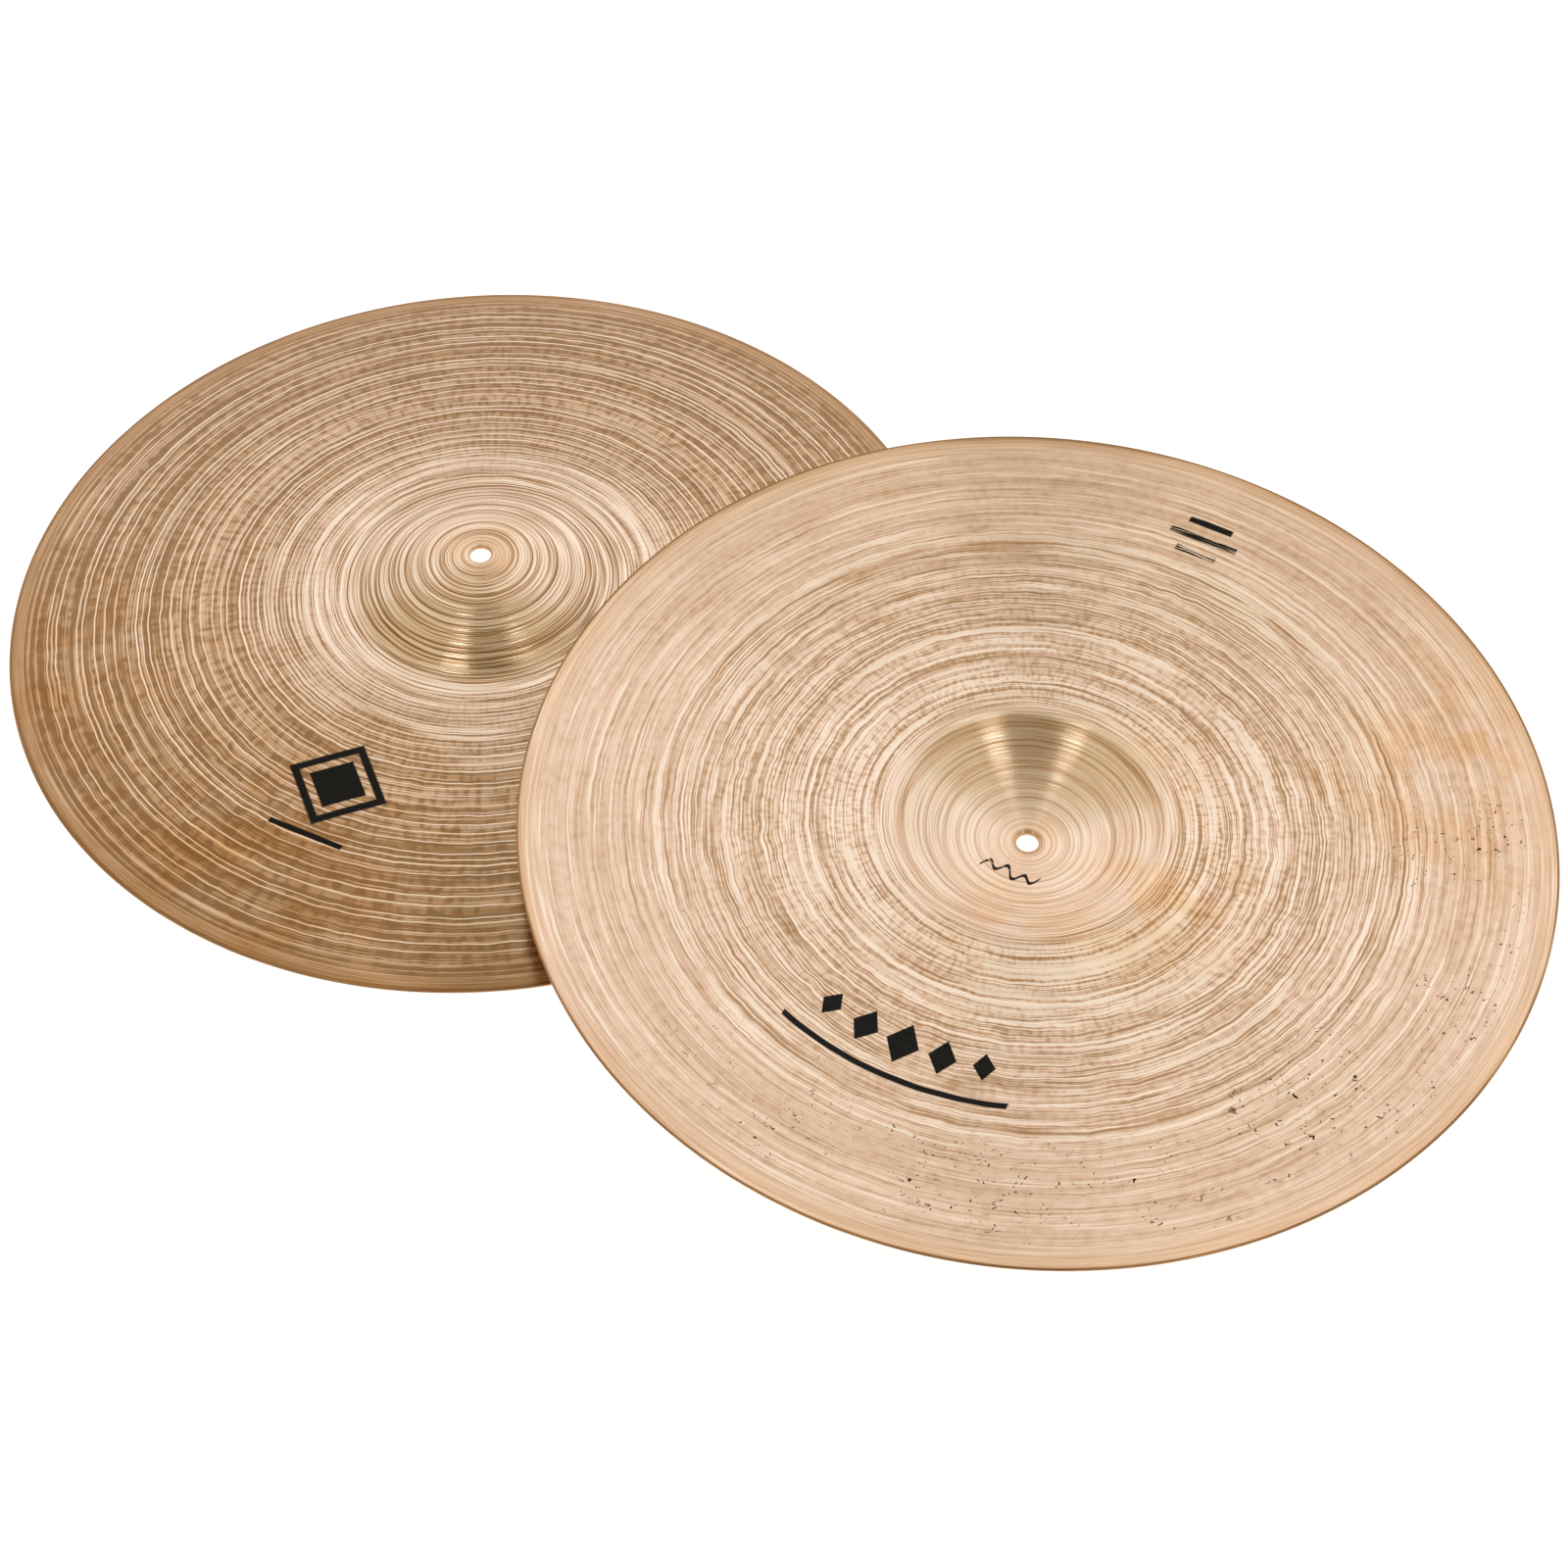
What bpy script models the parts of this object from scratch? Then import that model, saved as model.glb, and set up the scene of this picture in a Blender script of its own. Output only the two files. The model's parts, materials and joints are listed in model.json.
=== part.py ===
"""A pair of 21 inch (533.4 mm) orchestral hand cymbals, laid down as they are put aside between uses.

Each cymbal is one turned bronze dish with a raised cup and a strap hole. The lower one lies on its rim,
cup up. The upper one lies on its cup, hollow side up, and reaches over the lower one without touching it.
Units are metres, +Z is up, and the origin is the middle of the pair's footprint on the table.
"""

import math

import bmesh
import bpy
from mathutils import Euler, Matrix, Vector

# Driving dimensions of one cymbal, measured from its rim plane and its axis.
RIM_RADIUS = 0.5334 / 2
HOLE_RADIUS = 0.006
LAND_RADIUS = 0.011  # flat ring round the hole, where a strap's pad or knot seats
CUP_RADIUS = 0.074
CUP_HEIGHT = 0.0220  # cup above the bow
BOW_HEIGHT = 0.0173  # bow above the rim
CUP_FALL = 1.15  # higher than 1 eases the cup's foot into the bow
BOW_FALL = 1.8  # 2 is a parabola, 1 is a cone
RIM_THICKNESS = 0.00115
CUP_THICKNESS = 0.00192
RIM_LAND = 0.0012  # width of the flat ground on the rim's underside

# How the pair lies: the step from the lower axis to the upper one, and the upper cymbal's lean.
AXIS_STEP = Vector((0.3013, -0.1654, 0.0))
LEAN_X = math.radians(0.63)  # turn about X, which lowers the near side
LEAN_Y = math.radians(-1.52)  # turn about Y, which lowers the side over the lower cymbal
TABLE_GAP = 0.0003  # between the upper cup and the table

SEGMENTS = 96
CUP_RINGS = 8
BOW_RINGS = 7
BOW_RING_SPREAD = 1.25  # higher than 1 crowds the bow's rings towards the cup
SLOPE_REACH = 0.0005  # step either side of a point when its slope is taken

BRONZE_COLOUR = (0.76, 0.53, 0.35, 1.0)
BRONZE_ROUGHNESS = 0.32


def clear_scene():
    for obj in list(bpy.data.objects):
        bpy.data.objects.remove(obj)


def bronze():
    """Lathed tin bronze, unlacquered."""
    material = bpy.data.materials.new("lathed_bronze")
    material.use_nodes = True
    shader = material.node_tree.nodes["Principled BSDF"]
    shader.inputs["Base Color"].default_value = BRONZE_COLOUR
    shader.inputs["Metallic"].default_value = 1.0
    shader.inputs["Roughness"].default_value = BRONZE_ROUGHNESS
    return material


def dome_height(radius):
    """Height of the convex face above the rim plane, before the land round the hole is flattened."""
    along_bow = max(0.0, (radius - CUP_RADIUS) / (RIM_RADIUS - CUP_RADIUS))
    bow = BOW_HEIGHT * (1 - along_bow**BOW_FALL)
    across_cup = min(1.0, radius / CUP_RADIUS)
    cup = CUP_HEIGHT * (1 - across_cup**2) ** CUP_FALL
    return RIM_THICKNESS + bow + cup


def face_height(radius):
    """Height of the convex face: flat round the hole, then cup and bow."""
    return dome_height(max(radius, LAND_RADIUS))


def wall_thickness(radius):
    """The wall is even round the hole, then thins steadily to the rim."""
    share = max(radius, LAND_RADIUS) / RIM_RADIUS
    return CUP_THICKNESS + (RIM_THICKNESS - CUP_THICKNESS) * share


def ring_radii():
    """Radii of the profile's points, from the hole to the rim, closest where the cup meets the bow."""
    radii = [HOLE_RADIUS]
    for i in range(CUP_RINGS):
        share = math.sin(math.pi / 2 * i / (CUP_RINGS - 1))
        radii.append(LAND_RADIUS + (CUP_RADIUS - LAND_RADIUS) * share)
    for i in range(1, BOW_RINGS + 1):
        share = (i / BOW_RINGS) ** BOW_RING_SPREAD
        radii.append(CUP_RADIUS + (RIM_RADIUS - CUP_RADIUS) * share)
    return radii


def hollow_point(radius):
    """The point of the hollow face across the wall from the convex face's point at this radius."""
    if radius <= LAND_RADIUS:
        return radius, face_height(radius) - wall_thickness(radius)
    slope = (dome_height(radius + SLOPE_REACH) - dome_height(radius - SLOPE_REACH)) / (2 * SLOPE_REACH)
    wall = wall_thickness(radius) / math.hypot(1, slope)
    return radius + wall * slope, face_height(radius) - wall


def dish_profile():
    """Closed half section as (radius, height) points: convex face, rim, then hollow face back to the hole."""
    radii = ring_radii()
    convex = [(r, face_height(r)) for r in radii]
    hollow = [hollow_point(r) for r in radii[:-1]]
    rim = [(RIM_RADIUS, 0.0), (RIM_RADIUS - RIM_LAND, 0.0)]
    return convex + rim + hollow[::-1]


def cymbal(name, material):
    """One cymbal, cup up, with its rim plane at its own Z = 0 and its axis on its own Z axis."""
    shape = bmesh.new()
    section = [shape.verts.new((r, 0.0, z)) for r, z in dish_profile()]
    edges = [shape.edges.new((a, b)) for a, b in zip(section, section[1:] + section[:1], strict=True)]
    bmesh.ops.spin(
        shape,
        geom=section + edges,
        axis=(0, 0, 1),
        cent=(0, 0, 0),
        angle=2 * math.pi,
        steps=SEGMENTS,
        use_merge=True,
    )
    bmesh.ops.recalc_face_normals(shape, faces=shape.faces)
    mesh = bpy.data.meshes.new(name)
    shape.to_mesh(mesh)
    shape.free()
    mesh.materials.append(material)
    mesh.shade_smooth()
    mesh.set_sharp_from_angle(angle=math.radians(30))
    obj = bpy.data.objects.new(name, mesh)
    bpy.context.scene.collection.objects.link(obj)
    return obj


def upper_placement():
    """Turns the cymbal over about X, leans it, and sets the lowest point of its cup just above the table."""
    lean = Euler((LEAN_X, LEAN_Y, 0)).to_matrix()
    turned = lean @ Matrix.Rotation(math.pi, 3, "X")
    land_height = face_height(LAND_RADIUS)
    lowest = 0.0
    for i in range(SEGMENTS):
        angle = 2 * math.pi * i / SEGMENTS
        edge = Vector((math.cos(angle), math.sin(angle), 0)) * LAND_RADIUS
        edge.z = land_height
        lowest = min(lowest, (turned @ edge).z)
    rim_centre = AXIS_STEP / 2
    rim_centre.z = TABLE_GAP - lowest
    return Matrix.Translation(rim_centre) @ turned.to_4x4()


def main():
    clear_scene()
    material = bronze()
    lower = cymbal("lower_cymbal", material)
    lower.location = -AXIS_STEP / 2
    upper = cymbal("upper_cymbal", material)
    upper.matrix_world = upper_placement()


main()
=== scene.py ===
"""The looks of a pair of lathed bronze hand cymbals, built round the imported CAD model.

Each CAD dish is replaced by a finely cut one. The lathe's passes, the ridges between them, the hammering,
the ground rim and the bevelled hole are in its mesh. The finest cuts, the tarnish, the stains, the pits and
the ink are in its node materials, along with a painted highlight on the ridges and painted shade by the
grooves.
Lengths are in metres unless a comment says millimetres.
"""

import json
import math

import bpy
import numpy as np
from mathutils import Matrix, Vector


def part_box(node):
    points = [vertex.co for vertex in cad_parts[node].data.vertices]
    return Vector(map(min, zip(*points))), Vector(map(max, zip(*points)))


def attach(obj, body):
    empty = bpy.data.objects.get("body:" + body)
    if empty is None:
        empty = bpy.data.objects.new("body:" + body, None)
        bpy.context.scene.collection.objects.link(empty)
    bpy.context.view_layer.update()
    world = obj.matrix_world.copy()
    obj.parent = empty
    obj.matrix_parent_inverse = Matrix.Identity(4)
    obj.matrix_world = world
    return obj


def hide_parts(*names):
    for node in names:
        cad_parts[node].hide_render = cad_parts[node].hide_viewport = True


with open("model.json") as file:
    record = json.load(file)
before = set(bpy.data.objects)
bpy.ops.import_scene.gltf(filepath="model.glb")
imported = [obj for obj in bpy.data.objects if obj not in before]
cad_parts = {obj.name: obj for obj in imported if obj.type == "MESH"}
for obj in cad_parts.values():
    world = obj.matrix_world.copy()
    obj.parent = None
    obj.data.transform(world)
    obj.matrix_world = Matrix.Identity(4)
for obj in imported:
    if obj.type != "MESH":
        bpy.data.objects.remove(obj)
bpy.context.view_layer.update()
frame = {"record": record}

# One cymbal, cup up, measured from its rim plane and its axis.
RIM_RADIUS = 0.5334 / 2
HOLE_RADIUS = 0.006
LAND_RADIUS = 0.011
CUP_RADIUS = 0.074
CUP_HEIGHT = 0.0220
CUP_FALL = 1.15
BOW_HEIGHT = 0.0173
BOW_FALL = 1.8
RIM_WALL = 0.00115
CUP_WALL = 0.00192
RIM_LAND = 0.0012
EDGE_BEVEL = 0.00018
FOOT_ROUNDING = 0.0026
FOOT_REACH = 2.5 * FOOT_ROUNDING

MM = 0.001
SEGMENTS = 256
PROFILE_POINTS = 2000
ROUNDING_POINTS = 15

# Hammering, and rings that wander off the round, are sums of plane waves of these lengths. Both are held back
# near the hole and near the rim, and the cup is hammered less than the bow.
WAVE_COUNT = 48
HAMMER_WAVES = (0.016, 0.034)
HAMMER_DEPTH = 0.00011
WANDER_WAVES = (0.011, 0.030)
LOOSE_FROM = (0.014, 0.050)
LOOSE_TO = (0.246, 0.262)
CUP_HAMMERING = 0.3
BOW_FROM = (0.060, 0.090)

# Ridges differ by this factor, and a face's last ring stops this far short of its edge.
RIDGE_SPREAD = (0.3, 1.3)
LAST_RING_GAP = 0.0006


# ---------------------------------------------------------------- shape


def crisp_height(radius):
    """Height of the convex face above the rim plane, with a crease where the cup meets the bow."""
    radius = np.maximum(radius, LAND_RADIUS)
    along_bow = np.clip((radius - CUP_RADIUS) / (RIM_RADIUS - CUP_RADIUS), 0, 1)
    across_cup = np.clip(radius / CUP_RADIUS, 0, 1)
    bow = BOW_HEIGHT * (1 - along_bow**BOW_FALL)
    cup = CUP_HEIGHT * (1 - across_cup**2) ** CUP_FALL
    return RIM_WALL + bow + cup


def dome_height(radius):
    """The same height with the crease rounded off, as the mean over a short span of the profile."""
    span = np.linspace(-1, 1, ROUNDING_POINTS)
    reach = FOOT_ROUNDING * np.exp(-(((radius - CUP_RADIUS) / FOOT_REACH) ** 2))
    return np.mean([crisp_height(radius + reach * s) for s in span], axis=0)


def hollow_height(radius):
    """Height of the hollow face, one wall's thickness inside the convex one."""
    outer = np.linspace(LAND_RADIUS, RIM_RADIUS, PROFILE_POINTS)
    height = dome_height(outer)
    slope = np.gradient(height, outer)
    wall = (CUP_WALL + (RIM_WALL - CUP_WALL) * outer / RIM_RADIUS) / np.hypot(1, slope)
    return np.interp(radius, outer + wall * slope, height - wall)


def fade(radius, start, end):
    """0 up to start and 1 from end, smoothly."""
    t = np.clip((radius - start) / (end - start), 0, 1)
    return t * t * (3 - 2 * t)


def wave_field(rng, waves):
    """A smooth random field over the plan, of unit strength, with wavelengths in the given span."""
    length = rng.uniform(*waves, WAVE_COUNT)
    heading = rng.uniform(0, 2 * math.pi, WAVE_COUNT)
    phase = rng.uniform(0, 2 * math.pi, WAVE_COUNT)
    kx = 2 * math.pi / length * np.cos(heading)
    ky = 2 * math.pi / length * np.sin(heading)

    def field(x, y):
        total = np.zeros_like(x)
        for a, b, c in zip(kx, ky, phase):
            total += np.cos(a * x + b * y + c)
        return total * math.sqrt(2 / WAVE_COUNT)

    return field


def lathe_passes(rng, zones, start, end):
    """Rings of one face as (radius, relief, tone, ridge, groove).

    Each pass leaves a slightly tipped land with its own tone, which ends in a groove and a ridge. Those two
    are marked with their strengths.
    """
    rings = []
    radius = start
    while radius < end:
        zone = next(z for z in zones if radius < z["to"])
        width = rng.uniform(*zone["width"])
        size = rng.uniform(*RIDGE_SPREAD)
        ridge = zone["ridge"] * size
        tip = rng.normal(0, zone["tip"]) * width
        half = rng.uniform(*zone["ridge_half"])
        tone = rng.uniform(0, 1)
        rings.append((radius, -tip / 2, tone, 0, 0))
        rings.append((radius + width - 2 * half, tip / 2 - ridge * zone["groove"], tone, 0, size))
        rings.append((radius + width - half, tip / 2 + ridge, tone, size, 0))
        radius += width
    return [ring for ring in rings if ring[0] < end - LAST_RING_GAP]


def section_rings(convex, hollow):
    """The rings in order round the section: over the convex face, round the rim, back over the hollow face.

    The columns are side (1 convex, -1 hollow, 0 an edge), radius, an edge's height, relief, tone, ridge and
    groove.
    """
    hole_top = float(dome_height(np.array(LAND_RADIUS)))
    hole_bottom = float(hollow_height(np.array(LAND_RADIUS)))
    b = EDGE_BEVEL
    plain = (0, 0.5, 0, 0)
    rim_land = RIM_RADIUS - RIM_LAND
    rings = [(0, HOLE_RADIUS, hole_top - b, *plain), (1, HOLE_RADIUS + b, 0, *plain)]
    rings += [(1, r, 0, *marks) for r, *marks in convex]
    rings += [(1, RIM_RADIUS - b, 0, *plain)]
    ground = [(RIM_RADIUS, RIM_WALL - b), (RIM_RADIUS, b), (RIM_RADIUS - b, 0), (rim_land + b, 0)]
    rings += [(0, r, z, *plain) for r, z in ground]
    rings += [(-1, rim_land, 0, *plain)]
    rings += [(-1, r, 0, *marks) for r, *marks in reversed(hollow)]
    rings += [(-1, HOLE_RADIUS + b, 0, *plain), (0, HOLE_RADIUS, hole_bottom + b, *plain)]
    return [np.array(column, float) for column in zip(*rings)]


def grid_quads(rings):
    """Corner indices of the quads between each ring and the next, with the last ring joined to the first."""
    i, j = np.meshgrid(np.arange(rings), np.arange(SEGMENTS), indexing="ij")
    i2, j2 = (i + 1) % rings, (j + 1) % SEGMENTS
    corners = [i * SEGMENTS + j, i2 * SEGMENTS + j, i2 * SEGMENTS + j2, i * SEGMENTS + j2]
    return np.stack(corners, -1).reshape(-1, 4)


def grid_uv(radius, height):
    """UV corners of those quads: U runs along the section, which gives the tangent, and V round the axis."""
    along = np.concatenate([[0], np.cumsum(np.hypot(np.diff(radius), np.diff(height)))])
    length = along[-1] + math.hypot(radius[0] - radius[-1], height[0] - height[-1])
    u = np.append(along, length) / length
    i, j = np.meshgrid(np.arange(len(radius)), np.arange(SEGMENTS), indexing="ij")
    corners = [(u[i], j), (u[i + 1], j), (u[i + 1], j + 1), (u[i], j + 1)]
    return np.stack([np.stack([a, b / SEGMENTS], -1) for a, b in corners], -2)


def store(mesh, label, shape, columns):
    """Keeps three values for each vertex, given by vertex or by ring, where the materials can read them."""
    values = np.stack([np.broadcast_to(column, shape) for column in columns], -1)
    layer = mesh.attributes.new(label, "FLOAT_VECTOR", "POINT")
    layer.data.foreach_set("vector", values.astype(np.float32).ravel())


def dish_mesh(name, look, turned_over):
    """One cymbal's mesh, cup up, with the lathe coordinates and the UV map that its materials read."""
    rng = np.random.default_rng(look["seed"])
    convex = lathe_passes(rng, look["convex"], LAND_RADIUS, RIM_RADIUS)
    hollow = lathe_passes(rng, look["hollow"], LAND_RADIUS, RIM_RADIUS - RIM_LAND)
    hammer = wave_field(rng, HAMMER_WAVES)
    wander = wave_field(rng, WANDER_WAVES)
    columns = section_rings(convex, hollow)
    side, nominal, height, relief, tone, ridge, groove = (column[:, None] for column in columns)

    angle = np.arange(SEGMENTS) * 2 * math.pi / SEGMENTS
    cosine, sine = np.cos(angle), np.sin(angle)
    loose = fade(nominal, *LOOSE_FROM) * (1 - fade(nominal, *LOOSE_TO))
    strength = np.interp(nominal, look["wander_at"], look["wander"])
    radius = nominal + wander(nominal * cosine, nominal * sine) * loose * strength
    x, y = radius * cosine, radius * sine
    face = np.where(side >= 0, dome_height(radius), hollow_height(radius))
    z = np.where(side == 0, height, face + relief * side)
    hammering = CUP_HAMMERING + (1 - CUP_HAMMERING) * fade(nominal, *BOW_FROM)
    z = z + hammer(x, y) * HAMMER_DEPTH * loose * hammering

    mesh = bpy.data.meshes.new(name)
    points = np.stack([x, y, z], -1).reshape(-1, 3)
    mesh.from_pydata(points.tolist(), [], grid_quads(len(nominal)).tolist())
    uv = grid_uv(nominal[:, 0], z.mean(1))
    mesh.uv_layers.new(name="UVMap").data.foreach_set("uv", uv.astype(np.float32).ravel())
    store(mesh, "lathe", x.shape, (x, -y if turned_over else y, nominal))
    store(mesh, "cut", x.shape, (tone, ridge, groove))
    hollow_face = (side[:, 0] < 0) & (np.roll(side[:, 0], -1) < 0)
    mesh.polygons.foreach_set("material_index", np.repeat(hollow_face, SEGMENTS).astype(np.int32))
    mesh.shade_smooth()
    return mesh


# ---------------------------------------------------------------- node arithmetic


class Wire:
    """A node socket that can be used in ordinary arithmetic."""

    def __init__(self, tree, socket):
        self.tree, self.socket = tree, socket

    def _math(self, operation, *others):
        node = self.tree.nodes.new("ShaderNodeMath")
        node.operation = operation
        for slot, value in zip(node.inputs, (self, *others)):
            plug(self.tree, slot, value)
        return Wire(self.tree, node.outputs[0])

    def __add__(self, other):
        return self._math("ADD", other)

    def __sub__(self, other):
        return self._math("SUBTRACT", other)

    def __mul__(self, other):
        return self._math("MULTIPLY", other)

    def __truediv__(self, other):
        return self._math("DIVIDE", other)

    def __rsub__(self, other):
        return self * -1 + other

    def abs(self):
        return self._math("ABSOLUTE")

    def root(self):
        return self._math("SQRT")

    def sine(self):
        return self._math("SINE")

    def power(self, exponent):
        return self._math("POWER", exponent)

    def least(self, other):
        return self._math("MINIMUM", other)

    def most(self, other):
        return self._math("MAXIMUM", other)

    def step(self, start, end):
        """0 at start and 1 at end, smoothly; start may be the larger."""
        node = self.tree.nodes.new("ShaderNodeMapRange")
        node.interpolation_type = "SMOOTHSTEP"
        flip = start > end
        self.tree.links.new(self.socket, node.inputs["Value"])
        node.inputs["From Min"].default_value = min(start, end)
        node.inputs["From Max"].default_value = max(start, end)
        node.inputs["To Min"].default_value = 1.0 if flip else 0.0
        node.inputs["To Max"].default_value = 0.0 if flip else 1.0
        return Wire(self.tree, node.outputs["Result"])


def plug(tree, slot, value):
    """Feeds a node's input with a wire, a colour or a number."""
    if isinstance(value, Wire):
        tree.links.new(value.socket, slot)
    elif isinstance(value, tuple):
        slot.default_value = (*value, 1.0)
    else:
        slot.default_value = value


def join(a, b, c):
    """A vector of three values, the first of which is a wire."""
    node = a.tree.nodes.new("ShaderNodeCombineXYZ")
    for slot, value in zip(node.inputs, (a, b, c)):
        plug(a.tree, slot, value)
    return Wire(a.tree, node.outputs[0])


def split(tree, socket):
    """The three parts of a vector or a colour."""
    node = tree.nodes.new("ShaderNodeSeparateXYZ")
    tree.links.new(socket, node.inputs[0])
    return [Wire(tree, part) for part in node.outputs]


def noise(vector, scale, detail, roughness=0.5, distortion=0.0):
    node = vector.tree.nodes.new("ShaderNodeTexNoise")
    node.noise_dimensions = "3D"
    node.inputs["Scale"].default_value = scale
    node.inputs["Detail"].default_value = detail
    node.inputs["Roughness"].default_value = roughness
    node.inputs["Distortion"].default_value = distortion
    plug(vector.tree, node.inputs["Vector"], vector)
    return Wire(vector.tree, node.outputs["Fac"])


def mix(factor, a, b, blend="MIX"):
    """Colour a where factor is 0; where it is 1, colour b, or their product if blend is MULTIPLY."""
    tree = factor.tree
    node = tree.nodes.new("ShaderNodeMix")
    node.data_type = "RGBA"
    node.blend_type = blend
    node.clamp_factor = True
    colours = [slot for slot in node.inputs if slot.type == "RGBA"]
    for slot, value in ((node.inputs["Factor"], factor), (colours[0], a), (colours[1], b)):
        plug(tree, slot, value)
    return Wire(tree, next(socket for socket in node.outputs if socket.type == "RGBA"))


# ---------------------------------------------------------------- bronze

# Colours of bare bronze from the brightest cut (0) to the darkest tarnish (1). The painted highlight on the
# ridges takes the brightest end.
BRONZE_TONES = (
    (0.00, (1.00, 0.850, 0.720)),
    (0.08, (0.93, 0.718, 0.566)),
    (0.25, (0.84, 0.620, 0.475)),
    (0.45, (0.70, 0.490, 0.343)),
    (0.65, (0.53, 0.335, 0.190)),
    (0.82, (0.38, 0.222, 0.115)),
    (1.00, (0.22, 0.120, 0.058)),
)
PIT = (0.03, 0.015, 0.008)
INK = (0.006, 0.006, 0.006)
INK_GLOSS = 0.12
BUMP_DEPTH = 0.0001

# Layers of noise drawn out along the rings: cells per metre across them and along them, an offset that sets
# each layer apart, its detail, and the span that its values are stretched over, if any.
RING_LAYERS = {
    "drift": (70.0, 5.0, 0.0, 1.0, None),
    "stripes": (420.0, 4.0, 7.0, 1.0, (0.40, 0.60)),
    "lines": (950.0, 18.0, 17.0, 1.0, (0.38, 0.62)),
    "hairs": (1700.0, 30.0, 23.0, 0.0, None),
    "threads": (560.0, 5.0, 41.0, 0.0, (0.61, 0.65)),
    "gaps": (90.0, 20.0, 3.0, 0.0, (0.35, 0.55)),
}
# The comb marks are counted by angle instead: cells per radian, offset, detail and span.
COMB = (46.0, 31.0, 0.5, (0.40, 0.74))
# Lanes are rings of even tone, of about these widths.
LANES = {"thin lanes": 0.0008, "wide lanes": 0.0018}

# What each layer adds to the brown of the metal, and to the height that the bump reads.
BROAD_SHARES = {"drift": 0.50, "pass tone": 0.40, "stripes": 0.16}
FINE_SHARES = {"thin lanes": 0.75, "wide lanes": 0.20, "lines": 0.36, "hairs": 1.40}
THREAD_SHARE = 0.60
RELIEF_SHARES = {"stripes": 0.5, "lines": 0.5, "hairs": 0.6, "comb": 0.2, "threads": 0.6}

# Noises over the plan: cells per metre, detail and, for the clouds, roughness.
SHAKE_NOISE = (34.0, 1.0)
QUIVER_NOISE = (110.0, 1.5)
CLOUD_NOISE = (30.0, 3.0, 0.6)
RIM_NOISE = (14.0, 2.0)
PIT_ZONE_NOISE = (20.0, 2.0)

# Spans over which a value rises from 0 to 1, or falls where the larger end comes first. Radii are in metres.
SHAKE_SPAN = (0.42, 0.62)
QUIVER_FROM = (0.02, 0.09)
COMB_FROM = (0.072, 0.090)
COMB_TO = (0.262, 0.250)
CREST_SPAN = (0.10, 0.40)
TAN_FROM = (0.2535, 0.2665)
TAN_SPAN = (0.30, 0.62)
GOLD_SPAN = (0.15, 0.60)
STAIN_SPAN = (0.34, 0.64)
PIT_SPAN = (0.755, 0.780)
PIT_ZONE_SPAN = (0.40, 0.55)
PIT_FROM = (0.17, 0.20)
PIT_TO = (0.258, 0.246)
PIT_SIDE = (0.0, 0.14)

# Least strength of a ridge's painted highlight in its lines, of the tan in its patches, and how far past the
# brightest bronze the painted ridge highlight goes.
RIDGE_FLOOR = 0.80
TAN_FLOOR = 0.30
RIDGE_HIGHLIGHT_LIFT = 0.10
# How tightly the painted shade beside each groove gathers towards it.
GROOVE_SHARPNESS = 3.0
# How the pits curl, their cells per metre across the rings and per radian round the axis, and how far to the
# right of near their side lies.
PIT_CURL = 1.6
PIT_CELLS = (420.0, 70.0)
PIT_LEAN = 0.4
# What the stripes, the stains and the ridges add to the roughness.
ROUGH_SHARES = (0.06, 0.06, -0.05)


def ring_layer(place, offset, across, along, shift, detail, span):
    """Noise over (ring, first plan coordinate, second one), drawn out along the rings."""
    ring, x, y = place
    value = noise(join(ring * across + (offset + shift), x * along, y * along), 1.0, detail)
    return value.step(*span) if span else value


def lanes(ring, width, offset):
    """A random tone for each of many thin rings of about this width."""
    tree = ring.tree
    node = tree.nodes.new("ShaderNodeTexVoronoi")
    node.voronoi_dimensions = "1D"
    node.inputs["Scale"].default_value = 1 / width
    plug(tree, node.inputs["W"], ring + offset)
    return split(tree, node.outputs["Color"])[0]


def tones(factor):
    """Bronze from bright to nearly black-brown."""
    node = factor.tree.nodes.new("ShaderNodeValToRGB")
    ramp = node.color_ramp
    while len(ramp.elements) < len(BRONZE_TONES):
        ramp.elements.new(0.5)
    for element, (place, colour) in zip(ramp.elements, BRONZE_TONES):
        element.position = place
        element.color = (*colour, 1.0)
    plug(factor.tree, node.inputs[0], factor)
    return Wire(factor.tree, node.outputs["Color"])


def stored(tree, label):
    """The three values that the mesh keeps under this label."""
    attribute = tree.nodes.new("ShaderNodeAttribute")
    attribute.attribute_name = label
    return split(tree, attribute.outputs["Vector"])


def weigh(layers, shares, middle):
    """The named layers added up, each taken from the middle value and times its share."""
    total = 0.0
    for name, share in shares.items():
        total = (layers[name] - middle) * share + total
    return total


class Spot:
    """The place being shaded: plan position, radius, lathe ring, and the layers that follow the rings."""

    def __init__(self, tree, cut):
        self.x, self.y, lathe = stored(tree, "lathe")
        tone, self.crest, self.groove = stored(tree, "cut")
        self.radius = (self.x * self.x + self.y * self.y).root()
        offset = cut["offset"]
        self.plan = join(self.x, self.y, offset)
        shake = noise(self.plan, *SHAKE_NOISE).step(*SHAKE_SPAN) * self.at(cut["shake"])
        quiver = (noise(self.plan, *QUIVER_NOISE) - 0.5) * (shake + cut["quiver"])
        self.ring = lathe + quiver * self.radius.step(*QUIVER_FROM)
        self.by_angle = (self.ring, self.x / self.radius, self.y / self.radius)

        place = (self.ring, self.x, self.y)
        self.layers = {name: ring_layer(place, offset, *values) for name, values in RING_LAYERS.items()}
        self.layers["threads"] *= self.layers["gaps"]
        self.layers["pass tone"] = tone
        for name, width in LANES.items():
            self.layers[name] = lanes(self.ring, width, offset)
        on_bow = self.radius.step(*COMB_FROM) * self.radius.step(*COMB_TO)
        self.layers["comb"] = ring_layer(self.by_angle, offset, cut["comb_across"], *COMB) * on_bow

    def at(self, knots):
        """A value that follows the radius smoothly through (millimetres, value) knots."""
        total = knots[0][1]
        for (start, low), (end, high) in zip(knots, knots[1:]):
            if high != low:
                total = self.radius.step(start * MM, end * MM) * (high - low) + total
        return total


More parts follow.
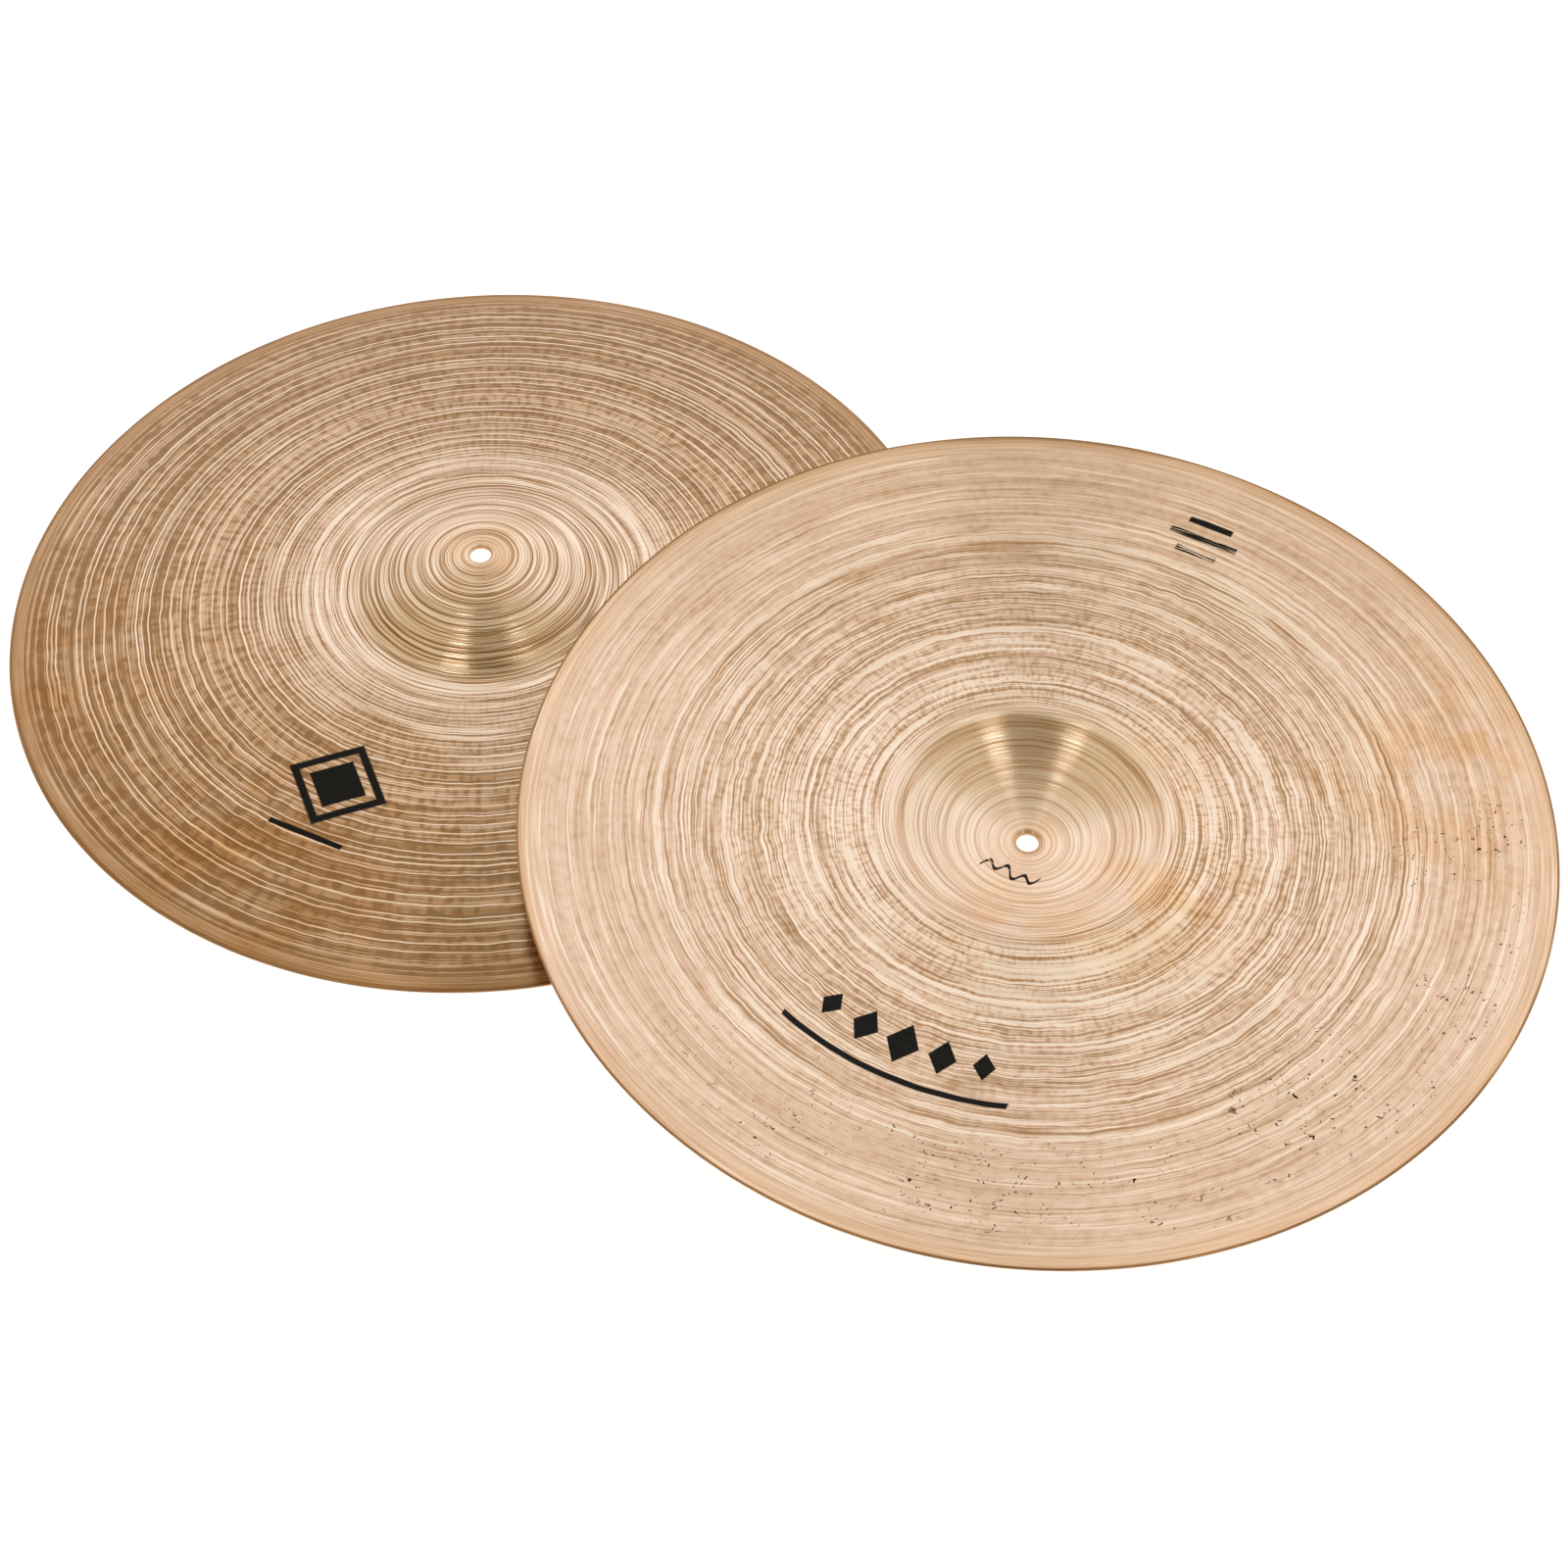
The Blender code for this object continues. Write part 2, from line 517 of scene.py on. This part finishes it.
def painted_ridge_highlight(spot, cut):
    """Where the lathe's ridges get a painted highlight: bright bronze in the colour where they catch the
    light.
    """
    lines = spot.layers["lines"] * (1 - RIDGE_FLOOR) + RIDGE_FLOOR
    return spot.crest.step(*CREST_SPAN) * lines * spot.at(cut["ridge"])


def brown_depth(spot, cut, ridge):
    """How brown the bronze is, before stains: 0 under the painted highlight on a ridge, up to 1 in tarnish,
    and darker by the grooves with painted shade.
    """
    layers = spot.layers
    fine = weigh(layers, FINE_SHARES, 0.5) - layers["threads"] * THREAD_SHARE
    brown = spot.at(cut["ground"]) + weigh(layers, BROAD_SHARES, 0.5) * spot.at(cut["broad"])
    brown = brown + fine * spot.at(cut["fine"])
    brown = brown + layers["comb"] * (1 - layers["threads"]) * spot.at(cut["comb"])
    # Painted shade: each land darkens towards the groove at its end.
    brown = (brown + spot.groove.power(GROOVE_SHARPNESS) * spot.at(cut["groove"])).least(cut["darkest"])
    # Painted highlight: on a ridge the colour goes to the brightest bronze and past it.
    return brown * (1 - ridge) - ridge * RIDGE_HIGHLIGHT_LIFT


def stain_mask(spot, cut):
    """Gold round the hole, tan along the rim, and cloudy patches as (x, y, reach, strength)."""
    cloud = noise(spot.plan, *CLOUD_NOISE)
    tan = noise(spot.plan, *RIM_NOISE).step(*TAN_SPAN) * (1 - TAN_FLOOR) + TAN_FLOOR
    stain = spot.radius.step(*TAN_FROM) * tan * cut["rim_stain"]
    stain = stain.most(spot.at(cut["gold"]) * cloud.step(*GOLD_SPAN))
    for x, y, reach, strength in cut["stains"]:
        away = ((spot.x - x) * (spot.x - x) + (spot.y - y) * (spot.y - y)).root()
        stain = stain.most(away.step(reach, 0.0) * cloud.step(*STAIN_SPAN) * strength)
    return stain


def pit_mask(spot, cut):
    """Small curled casting pits in patches, on the outer bow of the near and right side."""
    ring, cosine, sine = spot.by_angle
    across, round_axis = PIT_CELLS
    cells = join(ring * across, cosine * round_axis, sine * round_axis)
    pits = noise(cells, 1.0, 0.0, distortion=PIT_CURL).step(*PIT_SPAN)
    patches = noise(spot.plan, *PIT_ZONE_NOISE).step(*PIT_ZONE_SPAN)
    outer_bow = spot.radius.step(*PIT_FROM) * spot.radius.step(*PIT_TO)
    near_right = (spot.x * PIT_LEAN - spot.y).step(*PIT_SIDE)
    return pits * patches * outer_bow * near_right * cut["pits"]


def bronze(name, cut, marks=None):
    """Lathed bronze: rings that follow the mesh's cuts, comb marks, stains, pits and ink, with a painted
    highlight on the ridges and painted shade by the grooves.
    """
    material = bpy.data.materials.new(name)
    material.use_nodes = True
    tree = material.node_tree
    shader = tree.nodes["Principled BSDF"]
    spot = Spot(tree, cut)
    # ridge is the painted highlight on the lathe ridges, bright bronze in the colour.
    ridge = painted_ridge_highlight(spot, cut)
    stain = stain_mask(spot, cut)
    pits = pit_mask(spot, cut)

    colour = tones(brown_depth(spot, cut, ridge))
    colour = mix(stain, colour, cut["stain_tint"], "MULTIPLY")
    colour = mix(pits, colour, PIT)
    metallic = 1.0
    if marks:
        ink = marks(spot)
        colour = mix(ink, colour, INK)
        metallic = 1 - ink
        shader.inputs["Specular IOR Level"].default_value = INK_GLOSS
    rough = spot.at(cut["roughness"])
    for layer, share in zip((spot.layers["stripes"] - 0.5, stain, ridge), ROUGH_SHARES):
        rough = rough + layer * share
    plug(tree, shader.inputs["Base Color"], colour)
    plug(tree, shader.inputs["Metallic"], metallic)
    plug(tree, shader.inputs["Roughness"], rough)
    plug(tree, shader.inputs["Anisotropic"], spot.at(cut["anisotropy"]))

    tangent = tree.nodes.new("ShaderNodeTangent")
    tangent.direction_type = "UV_MAP"
    tangent.uv_map = "UVMap"
    tree.links.new(tangent.outputs[0], shader.inputs["Tangent"])
    bump = tree.nodes.new("ShaderNodeBump")
    bump.inputs["Distance"].default_value = BUMP_DEPTH
    plug(tree, bump.inputs["Height"], weigh(spot.layers, RELIEF_SHARES, 0.0) * spot.at(cut["fine"]) - pits)
    tree.links.new(bump.outputs[0], shader.inputs["Normal"])
    return material


# ---------------------------------------------------------------- ink

# Half widths of the soft edges, in metres and, for a lozenge, as a share of its size.
INK_EDGE = 0.00025
LOZENGE_EDGE = 0.03

# The lower emblem: where it is, the half sizes of its lozenges, outermost first, and its bar's radius, length
# and width. Angles are in degrees from +X.
EMBLEM_ANGLE = 246.3
EMBLEM_RADIUS = 0.159
EMBLEM_SIZES = ((0.0275, 0.0300), (0.0215, 0.0235), (0.0160, 0.0175))
EMBLEM_BAR = (0.1925, 0.044, 0.0032)

# The upper row of lozenges, which shrink from the middle one outward, and the band outside it.
ROW_ANGLE = 244.0
ROW_STEP = 7.6
ROW_RADIUS = 0.156
ROW_SIZE = 0.0125
ROW_SHRINK = 0.0022
ROW_ASPECT = 0.7
BAND_RADIUS = 0.177
BAND_HALF_WIDTH = 0.0017
BAND_EDGE = (0.0003, -0.0003)
BAND_ENDS = (0.0605, 0.0595)
BAND_SIDE = (0.0, 0.001)

# The worn bars as (radius, length), and the pen line's waves as (radians per metre, swing).
BARS_ANGLE = 61.0
BARS = ((0.2285, 0.026), (0.2180, 0.040), (0.2075, 0.024))
BAR_WIDTH = 0.0042
BAR_WEAR = (0.30, 0.42)
PEN_RADIUS = 0.0235
PEN_WAVES = ((620.0, 0.0030), (260.0, 0.0016))
PEN_EDGE = (0.0015, 0.0011)
PEN_ENDS = (0.0165, 0.0155)
PEN_WEAR = (0.25, 0.35)


def turned(spot, degrees):
    """Plan coordinates (outward, along the ring) in a frame whose first axis points out at this angle."""
    c, s = math.cos(math.radians(degrees)), math.sin(math.radians(degrees))
    return spot.x * c + spot.y * s, spot.y * c - spot.x * s


def bar(out, along, radius, length, width):
    """A plain bar that lies across the outward axis at this radius."""
    inside = ((out - radius).abs() - width / 2).most(along.abs() - length / 2)
    return inside.step(INK_EDGE, -INK_EDGE)


def lozenge(out, along, radius, half_out, half_along):
    """A lozenge on the outward axis at this radius."""
    inside = (out - radius).abs() / half_out + along.abs() / half_along
    return inside.step(1 + LOZENGE_EDGE, 1 - LOZENGE_EDGE)


def lower_marks(spot):
    """A plain lozenge in a lozenge ring, with a short bar outside it."""
    out, along = turned(spot, EMBLEM_ANGLE)
    outer, inner, core = (lozenge(out, along, EMBLEM_RADIUS, *size) for size in EMBLEM_SIZES)
    return (outer * (1 - inner) + core + bar(out, along, *EMBLEM_BAR)).least(1.0)


def upper_marks(spot):
    """Five lozenges over a band, three worn bars on the far side, and a wavy pen line in the cup."""
    out, along = turned(spot, ROW_ANGLE)
    hairs = spot.layers["hairs"]
    band = ((spot.radius - BAND_RADIUS).abs() - BAND_HALF_WIDTH).step(*BAND_EDGE)
    shape = band * along.abs().step(*BAND_ENDS) * out.step(*BAND_SIDE)
    for place in (-2, -1, 0, 1, 2):
        size = ROW_SIZE - ROW_SHRINK * abs(place)
        here = turned(spot, ROW_ANGLE + ROW_STEP * place)
        shape = shape + lozenge(*here, ROW_RADIUS, size, size * ROW_ASPECT)

    far = turned(spot, BARS_ANGLE)
    for radius, length in BARS:
        shape = shape + bar(*far, radius, length, BAR_WIDTH) * hairs.step(*BAR_WEAR)

    line = out - PEN_RADIUS
    for turns, swing in PEN_WAVES:
        line = line - (along * turns).sine() * swing
    pen = line.abs().step(*PEN_EDGE) * along.abs().step(*PEN_ENDS) * hairs.step(*PEN_WEAR)
    return (shape + pen).least(1.0)


# ---------------------------------------------------------------- cymbals


def zone(to, width, ridge, tip, half=(0.22, 0.34), groove=0.0):
    """Lathe passes up to a radius: their width, the ridge between them and its half width, in millimetres.

    Their lands tip at random by about tip. The groove beside a ridge is given as a share of the ridge.
    """
    return {
        "to": to * MM,
        "width": (width[0] * MM, width[1] * MM),
        "ridge": ridge * MM,
        "tip": tip,
        "ridge_half": (half[0] * MM, half[1] * MM),
        "groove": groove,
    }


LOWER_LOOK = {
    "seed": 21,
    "convex": [
        zone(19, (2.2, 3.2), 0.006, 0.004),
        zone(75, (1.9, 3.1), 0.026, 0.022, groove=0.4),
        zone(112, (1.8, 3.2), 0.016, 0.012),
        zone(249, (3.2, 8.0), 0.045, 0.012, half=(0.42, 0.62)),
        zone(270, (2.6, 4.2), 0.018, 0.008, half=(0.28, 0.40)),
    ],
    "hollow": [zone(75, (4.0, 6.0), 0.012, 0.010), zone(270, (4.0, 8.0), 0.030, 0.014)],
    "wander_at": [0.02, 0.10, 0.13, 0.24, 0.26],
    "wander": [0.0, 0.0001, 0.00016, 0.00020, 0.0001],
}
UPPER_LOOK = {
    "seed": 53,
    "convex": [zone(75, (4.0, 6.0), 0.020, 0.016), zone(270, (4.0, 8.0), 0.035, 0.016)],
    "hollow": [
        zone(72, (2.0, 4.0), 0.006, 0.005),
        zone(125, (2.0, 4.0), 0.022, 0.014),
        zone(200, (2.2, 4.6), 0.034, 0.022),
        zone(250, (2.4, 4.2), 0.018, 0.012),
        zone(270, (4.0, 6.0), 0.008, 0.005),
    ],
    "wander_at": [0.02, 0.08, 0.13, 0.20, 0.26],
    "wander": [0.0, 0.0001, 0.00032, 0.00024, 0.0001],
}

# How the convex faces and the hollow faces are cut and coloured. Knots are (millimetres of radius, value).
# - offset sets its noises apart; its fine rings wobble by quiver everywhere, and by shake in patches;
# - ground is the brown of its lands, and darkest is the cap;
# - broad, fine and comb say how much those layers add to the brown, and groove how much painted shade darkens
#   each land towards its groove;
# - ridge is how strong the painted highlight on the ridges is, and comb_across is the comb marks' cells per
#   metre across the rings;
# - gold, rim_stain and stains say where stain_tint colours it, and pits how deep its pits are.
CONVEX_CUT = {
    "offset": 3.1,
    "quiver": 0.0004,
    "shake": ((100, 0.0), (130, 0.0008)),
    "ground": (
        (16, 0.22),
        (22, 0.30),
        (72, 0.30),
        (82, 0.43),
        (100, 0.50),
        (150, 0.61),
        (200, 0.70),
        (256, 0.72),
    ),
    "broad": ((10, 0.1), (24, 0.30), (84, 0.30), (124, 0.22), (240, 0.22), (258, 0.12)),
    "fine": ((10, 0.9), (24, 1.1), (84, 1.15), (108, 0.9), (124, 0.42), (245, 0.40), (258, 0.25)),
    "comb": ((80, 0.14), (120, 0.22), (160, 0.28)),
    "comb_across": 140.0,
    # groove: strength of the painted shade by the grooves.
    "groove": ((12, 0.35), (24, 0.5), (74, 0.5), (90, 0.1)),
    "darkest": 0.85,
    # ridge: strength of the painted highlight on the ridges.
    "ridge": ((10, 0.3), (26, 0.8), (76, 0.8), (84, 0.65), (110, 1.0), (235, 1.0), (258, 0.5)),
    "gold": ((12, 0.6), (34, 0.0)),
    "rim_stain": 0.5,
    "stains": ((-0.12, -0.20, 0.15, 1.0), (-0.23, -0.07, 0.13, 0.9), (0.02, 0.02, 0.04, 0.5)),
    "stain_tint": (0.93, 0.78, 0.56),
    "pits": 0.0,
    "roughness": ((16, 0.34), (30, 0.24), (70, 0.24), (80, 0.32)),
    "anisotropy": ((16, 0.85), (30, 0.60), (70, 0.60), (80, 0.90)),
}
HOLLOW_CUT = {
    "offset": 11.7,
    "quiver": 0.0005,
    "shake": ((90, 0.0), (125, 0.0011), (200, 0.0011), (240, 0.0005)),
    "ground": (
        (7, 0.5),
        (9, 0.10),
        (60, 0.10),
        (74, 0.19),
        (130, 0.23),
        (150, 0.26),
        (185, 0.26),
        (215, 0.24),
    ),
    "broad": ((10, 0.1), (60, 0.1), (76, 0.11), (150, 0.11), (190, 0.06), (220, 0.04)),
    "fine": ((10, 0.4), (60, 0.6), (76, 0.95), (190, 0.85), (215, 0.38), (258, 0.34)),
    "comb": ((76, 0.42), (130, 0.30), (200, 0.12)),
    "comb_across": 240.0,
    # groove: strength of the painted shade by the grooves.
    "groove": ((16, 0.1), (60, 0.15), (80, 0.08), (240, 0.05)),
    "darkest": 0.72,
    # ridge: strength of the painted highlight on the ridges.
    "ridge": ((14, 0.0), (60, 0.15), (80, 0.50), (200, 0.50), (220, 0.20), (262, 0.12)),
    "gold": ((9, 0.4), (24, 0.0)),
    "rim_stain": 0.6,
    "stains": (
        (0.062, -0.048, 0.078, 1.0),
        (0.235, 0.02, 0.12, 1.0),
        (-0.01, -0.055, 0.06, 0.8),
        (0.07, 0.03, 0.05, 0.5),
    ),
    "stain_tint": (0.98, 0.84, 0.64),
    "pits": 1.0,
    "roughness": ((60, 0.26), (80, 0.32)),
    "anisotropy": ((60, 0.95), (80, 0.90)),
}


def make_cymbal(node, look, turned_over, materials, matrix):
    """The finely cut dish that stands in for a CAD node. The convex face's material comes first."""
    name = node + "_bronze"
    obj = bpy.data.objects.new(name, dish_mesh(name, look, turned_over))
    bpy.context.scene.collection.objects.link(obj)
    for material in materials:
        obj.data.materials.append(material)
    obj.data.transform(matrix)
    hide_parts(node)
    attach(obj, node)


def placements():
    """Matrices that lay a cup-up cymbal where the two CAD dishes lie."""
    low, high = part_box("lower_cymbal")
    lower = Matrix.Translation(((low.x + high.x) / 2, (low.y + high.y) / 2, low.z))
    seat = next(m for m in frame["record"]["mounts"] if m["name"] == "upper_strap_seat_inside")
    up = Vector(seat["axis"]).normalized()
    low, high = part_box("upper_cymbal")
    drop = RIM_RADIUS * math.hypot(up.x, up.y)
    centre = Vector(((low.x + high.x) / 2, (low.y + high.y) / 2, high.z - drop))
    across = Vector((1, 0, 0))
    across = (across - up * across.dot(up)).normalized()
    upside_down = Matrix((across, (-up).cross(across), -up)).transposed().to_4x4()
    return lower, Matrix.Translation(centre) @ upside_down


# ---------------------------------------------------------------- studio

FLOOR_RADIUS = 5.0
FLOOR_POINTS = 96
FLOOR_DROP = 0.0003
FLOOR_GREY = 0.4
FLOOR_ROUGHNESS = 0.9
FLOOR_SHEEN = 0.1
FLOOR_GLOW = 0.9
WHITE = (1.0, 1.0, 1.0)

# The surround by direction: bright on the far side, dimmer and warmer overhead and to the sides, and dark
# above the near side. Two strip lights hang there, each given as its middle and where its long side points.
BRIGHT = (1.04, 1.0, 0.95)
MIDDLING = (0.64, 0.545, 0.365)
DARK = (0.27, 0.21, 0.115)
DARK_MIDDLE = (0.0, -0.30, 0.95)
DARK_SPAN = (0.88, 0.965)
OVERHEAD_SPAN = (0.55, 0.14)
OVERHEAD_LEAN = 0.15
SIDE_SPAN = (0.35, 0.70)
SIDE_SHARE = 0.5
HORIZON_SPAN = (0.0, 0.2)
STRIPS = {
    "left_strip": ((-0.315, -0.34, 0.885), (-0.21, 0.06, 0.98)),
    "right_strip": ((0.33, -0.34, 0.88), (0.23, 0.06, 0.98)),
}
STRIP_SIZE = (0.76, 1.5)
STRIP_DISTANCE = 4.5
STRIP_RADIANCE = 2.1
STRIP_COLOUR = (1.0, 0.97, 0.86)

CAMERA_LENS = 55.45
CAMERA_DISTANCE = 1.3038
CAMERA_PITCH = math.radians(51.64)
CAMERA_ROLL = math.radians(1.288)
CAMERA_TARGET = Vector((0.0221, -0.0446, 0.0))


def floor():
    """A plain pale floor that glows a little, so that it stays white round the object."""
    bpy.ops.mesh.primitive_circle_add(
        vertices=FLOOR_POINTS, radius=FLOOR_RADIUS, fill_type="NGON", location=(0, 0, -FLOOR_DROP)
    )
    obj = bpy.context.object
    obj.name = "floor"
    material = bpy.data.materials.new("pale_floor")
    material.use_nodes = True
    shader = material.node_tree.nodes["Principled BSDF"]
    shader.inputs["Base Color"].default_value = (FLOOR_GREY, FLOOR_GREY, FLOOR_GREY, 1.0)
    shader.inputs["Roughness"].default_value = FLOOR_ROUGHNESS
    shader.inputs["Specular IOR Level"].default_value = FLOOR_SHEEN
    shader.inputs["Emission Color"].default_value = (*WHITE, 1.0)
    shader.inputs["Emission Strength"].default_value = FLOOR_GLOW
    obj.data.materials.append(material)


def strip_light(name, way, toward):
    """A light that faces the object from one direction, with its long side pointing towards another."""
    z = Vector(way).normalized()
    y = Vector(toward)
    y = (y - z * y.dot(z)).normalized()
    light = bpy.data.lights.new(name, "AREA")
    light.shape = "RECTANGLE"
    light.size, light.size_y = STRIP_SIZE
    light.color = STRIP_COLOUR
    light.energy = STRIP_RADIANCE * math.pi * STRIP_SIZE[0] * STRIP_SIZE[1]
    obj = bpy.data.objects.new(name, light)
    facing = Matrix((y.cross(z), y, z)).transposed().to_4x4()
    obj.matrix_world = Matrix.Translation(z * STRIP_DISTANCE) @ facing
    obj.visible_camera = False
    bpy.context.scene.collection.objects.link(obj)


def surround():
    """What the bronze mirrors. The camera itself sees plain white."""
    world = bpy.data.worlds.new("studio")
    bpy.context.scene.world = world
    world.use_nodes = True
    tree = world.node_tree
    way = tree.nodes.new("ShaderNodeTexCoord").outputs["Generated"]
    x, y, z = split(tree, way)
    middle = Vector(DARK_MIDDLE).normalized()
    dark = (x * middle.x + y * middle.y + z * middle.z).step(*DARK_SPAN)
    overhead = (y + x * OVERHEAD_LEAN).step(*OVERHEAD_SPAN)
    sides = x.abs().step(*SIDE_SPAN) * SIDE_SHARE
    dim = overhead.most(sides) * z.step(*HORIZON_SPAN)
    room = mix(dark, mix(dim, BRIGHT, MIDDLING), DARK)
    path = tree.nodes.new("ShaderNodeLightPath")
    colour = mix(Wire(tree, path.outputs["Is Camera Ray"]), room, WHITE)
    plug(tree, tree.nodes["Background"].inputs["Color"], colour)


def camera():
    """Looks down at the pair from in front, with a slight roll."""
    data = bpy.data.cameras.new("camera")
    data.lens = CAMERA_LENS
    obj = bpy.data.objects.new("camera", data)
    bpy.context.scene.collection.objects.link(obj)
    forward = Vector((0, math.cos(CAMERA_PITCH), -math.sin(CAMERA_PITCH)))
    up = Vector((0, math.sin(CAMERA_PITCH), math.cos(CAMERA_PITCH)))
    right = forward.cross(up)
    rolled_right = right * math.cos(CAMERA_ROLL) + up * math.sin(CAMERA_ROLL)
    rolled_up = up * math.cos(CAMERA_ROLL) - right * math.sin(CAMERA_ROLL)
    rolled = Matrix((rolled_right, rolled_up, -forward)).transposed().to_4x4()
    obj.matrix_world = Matrix.Translation(CAMERA_TARGET - forward * CAMERA_DISTANCE) @ rolled
    bpy.context.scene.camera = obj


def main():
    lower_place, upper_place = placements()
    lower = [bronze("lower_convex", CONVEX_CUT, lower_marks), bronze("lower_hollow", HOLLOW_CUT)]
    upper = [bronze("upper_convex", CONVEX_CUT), bronze("upper_hollow", HOLLOW_CUT, upper_marks)]
    make_cymbal("lower_cymbal", LOWER_LOOK, False, lower, lower_place)
    make_cymbal("upper_cymbal", UPPER_LOOK, True, upper, upper_place)
    floor()
    for name, (way, toward) in STRIPS.items():
        strip_light(name, way, toward)
    surround()
    camera()
    bpy.context.scene.view_settings.view_transform = "Standard"


main()
